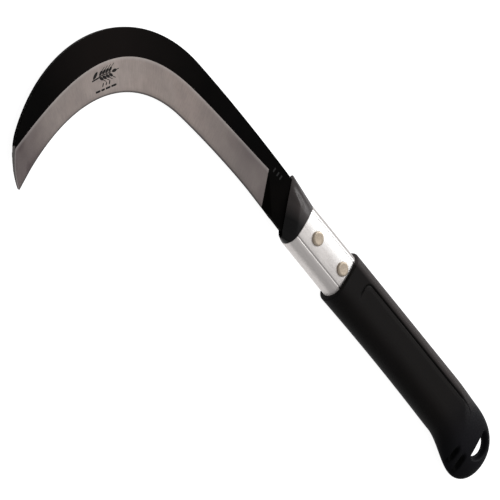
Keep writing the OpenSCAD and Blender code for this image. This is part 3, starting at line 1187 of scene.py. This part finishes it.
def grip():
    """Moulded handle: skin from the butt's pole to the front, and the pocket for the tube."""
    count = 240
    angles = even_angles(count)
    fillet_r = 1.0
    loops = []
    for x in grip_stations():
        drawn = 0.0
        if x < fillet_r:
            drawn = fillet_r - sqrt(fillet_r ** 2 - (fillet_r - x) ** 2)
        loops.append(grip_loop(x, angles, drawn))
    # The pocket for the tube, from its bottom to its mouth: place, and growth in width and height
    mouth = oval(TUBE_W / 2, TUBE_T / 2, TUBE_LEAN, count)
    pocket = [[(x, y * wide, MID_Z + z * high) for y, z in mouth]
              for x, wide, high in ((TUBE_END, 1.001, 1.002), (0.2, 1.002, 1.004), (0, 1.012, 1.02))]
    points, faces = lofted(pocket + loops)
    nose = len(points)
    points.append((GRIP_LEN, BUTT_Y, MID_Z))
    last = nose - count
    faces += [(last + k, last + (k + 1) % count, nose) for k in range(count)]
    faces.append(tuple(range(count)))
    piece = make_piece("grip_body", points, faces, ["grip"])
    cut_hole(piece)
    spots = [(vertex.co - ORIGIN) / MM for vertex in piece.data.vertices]
    fill_layer(piece.data, "form", [(panel_distance(p.x, p.y), p.y) for p in spots])
    fill_layer(piece.data, "sunk", [(dents(p.x, p.y), 0) for p in spots])
    shade(piece, 40)
    piece.data.materials.append(grip_rubber())


def cut_hole(piece):
    """Cuts the half-moon hanging hole right through the butt."""
    centre = plan(HOLE_MID_X, HOLE_Y)
    half = asin(HOLE_LEN / 2 / HOLE_R)
    steps = 40
    turns = [mix(-half, half, i / steps) for i in range(steps + 1)]
    outline = [centre + HOLE_R * plan(cos(a), sin(a)) for a in turns]
    points, faces = lofted([[(p.x, p.y, z) for p in outline] for z in (-2.0, GRIP_T + 2.0)])
    size = len(outline)
    faces.append(tuple(range(size)))
    faces.append(tuple(range(2 * size - 1, size - 1, -1)))
    cutter = add_object("hole_cutter", new_mesh("hole_cutter", points, faces))
    mend(cutter)
    cut = piece.modifiers.new("hanging_hole", "BOOLEAN")
    cut.operation = "DIFFERENCE"
    cut.solver = "EXACT"
    cut.object = cutter
    finish_mesh(piece)
    bpy.data.objects.remove(cutter)
    drop_slivers(piece)


# -------- stage

PHOTO_TURN = radians(40)  # the handle's slant in the picture
PICTURE_RIGHT = Vector((cos(PHOTO_TURN), sin(PHOTO_TURN), 0))
PICTURE_UP = Vector((-sin(PHOTO_TURN), cos(PHOTO_TURN), 0))
TILT = radians(46.9)  # the camera's swing to the left about the picture's upright
LENS = 1200
SENSOR = 36
FIELD = 0.2891  # height of the field at the tool
MIDDLE = (cad_box[0] + cad_box[1]) / 2
TARGET = MIDDLE + Vector((-0.0179, 0.0204, 0))    # what the camera and the light aim at
KEY_RIGHT, KEY_UP, KEY_HEIGHT = 1.25, 0.80, 0.85  # place of the soft box, in metres
KEY_SIZE = 1.1
KEY_POWER = 18


def add_camera():
    camera = add_object("camera", bpy.data.cameras.new("camera"))
    camera.data.lens = LENS
    camera.data.sensor_width = SENSOR
    camera.data.clip_end = 100
    back = Vector((0, 0, 1)) * cos(TILT) - PICTURE_RIGHT * sin(TILT)
    side = PICTURE_UP.cross(back)
    camera.rotation_mode = "QUATERNION"
    camera.rotation_quaternion = Matrix((side, PICTURE_UP, back)).transposed().to_quaternion()
    camera.location = TARGET + back * (FIELD * LENS / SENSOR)
    bpy.context.scene.camera = camera


def add_floor():
    """A square of plain paper just under the tool."""
    reach = 6.0
    gap = 0.0002
    corners = [(reach * x, reach * y, 0) for x, y in ((-1, -1), (1, -1), (1, 1), (-1, 1))]
    mesh = bpy.data.meshes.new("floor")
    mesh.from_pydata(corners, [], [(0, 1, 2, 3)])
    floor = add_object("floor", mesh)
    floor.location.z = GRIP_LOW.z - gap
    mesh.materials.append(floor_paper())


def add_key():
    """A square soft box that faces the tool from the picture's upper right."""
    lamp = add_object("key", bpy.data.lights.new("key", "AREA"))
    lamp.data.shape = "SQUARE"
    lamp.data.size = KEY_SIZE
    lamp.data.energy = KEY_POWER
    over = PICTURE_UP * KEY_UP + PICTURE_RIGHT * KEY_RIGHT
    lamp.location = over + Vector((0, 0, KEY_HEIGHT))
    lamp.rotation_mode = "QUATERNION"
    lamp.rotation_quaternion = (TARGET - lamp.location).to_track_quat("-Z", "Y")


def add_world(horizon, overhead):
    """A soft grey dome, brighter overhead than at the horizon."""
    world = bpy.data.worlds.new("studio")
    bpy.context.scene.world = world
    world.use_nodes = True
    tree = world.node_tree
    back = tree.nodes["Background"]
    coords = tree.nodes.new("ShaderNodeTexCoord")
    split = tree.nodes.new("ShaderNodeSeparateXYZ")
    rise = tree.nodes.new("ShaderNodeMapRange")
    set_range(rise, 0.05, 0.45, horizon, overhead)
    tree.links.new(coords.outputs["Generated"], split.inputs[0])
    tree.links.new(split.outputs["Z"], rise.inputs["Value"])
    tree.links.new(rise.outputs["Result"], back.inputs["Strength"])
    back.inputs["Color"].default_value = (1, 1, 1, 1)


# -------- the sickle

blade()
etched_mark()
stamped_bars()
collar()
tube()
rivet_finish = rivet_metal()
for rivet_node in ("rivet_front", "rivet_rear"):
    rivet(rivet_node, rivet_finish)
grip()
liner_finish = liner_plastic()
for liner_node in ("liner_upper", "liner_lower"):
    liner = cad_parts[liner_node]
    liner.data.materials.clear()
    liner.data.materials.append(liner_finish)

add_floor()
add_world(0.15, 0.62)
add_key()
add_camera()
bpy.context.scene.view_settings.view_transform = "Standard"
